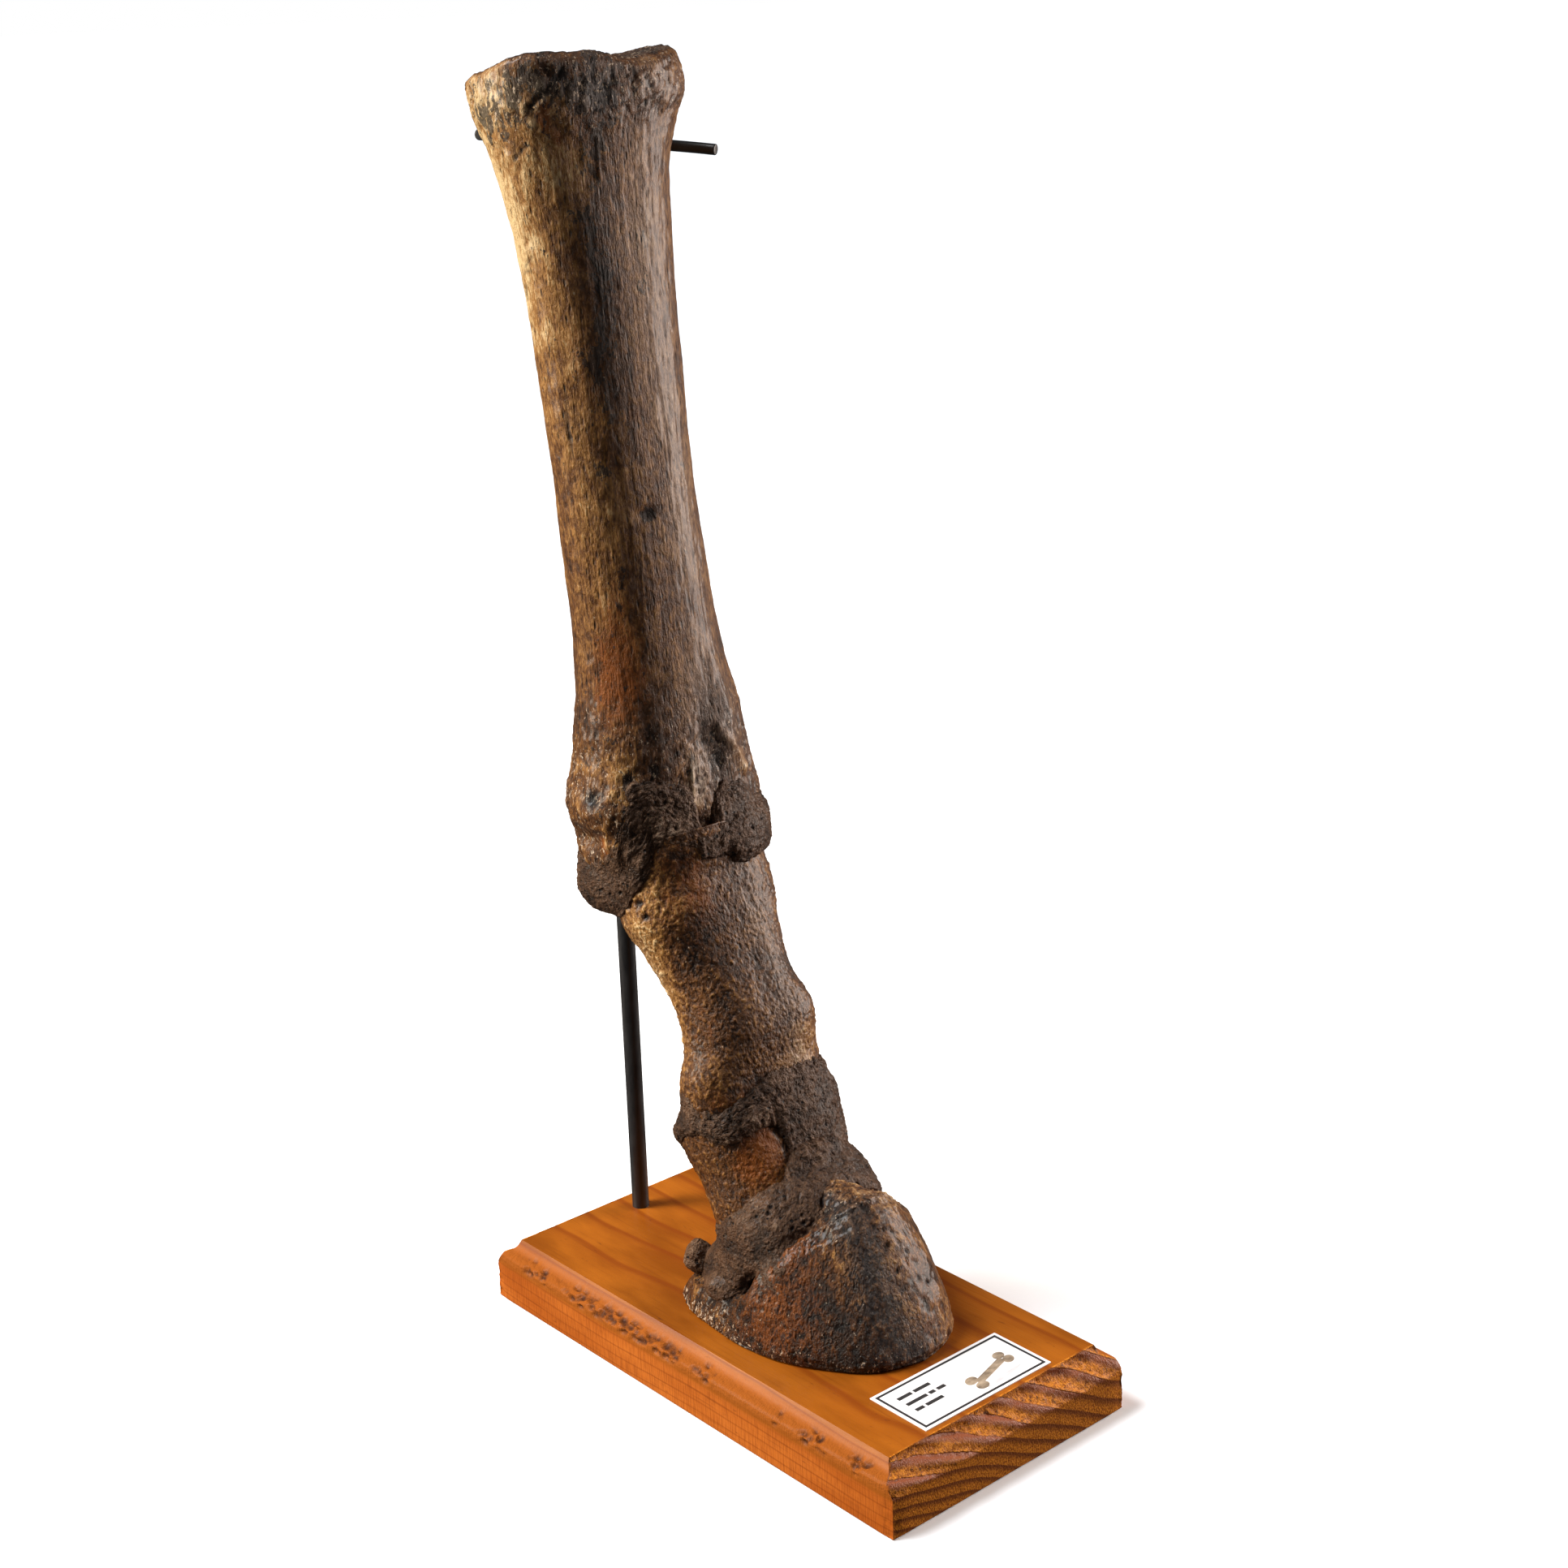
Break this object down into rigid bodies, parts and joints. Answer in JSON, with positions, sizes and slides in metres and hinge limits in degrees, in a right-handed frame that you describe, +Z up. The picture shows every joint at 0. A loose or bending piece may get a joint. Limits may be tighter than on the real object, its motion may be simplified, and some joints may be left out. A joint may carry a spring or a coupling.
{
  "type": "fossil horse leg bone on a stand",
  "caption": "Fossil lower front leg of a horse, its bones joined with dark filler and held upright by a steel rod and cradle bar on a moulded pine board.",
  "frame": {"origin": "middle of the underside of the wooden board", "axes": "+Z up the leg, -Y towards the toe and the label card, +X to the right as the toe is faced; the board's long side is along Y"},
  "size_m": [0.102, 0.2, 0.4201],
  "materials": {
    "pine": "gloss",
    "card": "satin",
    "black_steel": "satin",
    "shaft_bone": "satin",
    "pastern_bone": "satin",
    "coffin_bone": "satin",
    "filler": "matte"
  },
  "bodies": {
    "root": {"wood_base": "pine", "label_card": "card", "support_rod": "black_steel", "cradle_bar": "black_steel", "cannon_bone": "shaft_bone", "long_pastern_bone": "pastern_bone", "short_pastern_bone": "pastern_bone", "coffin_bone": "coffin_bone", "fetlock_filler": "filler", "pastern_filler": "filler", "coffin_filler": "filler"}
  },
  "joints": []
}
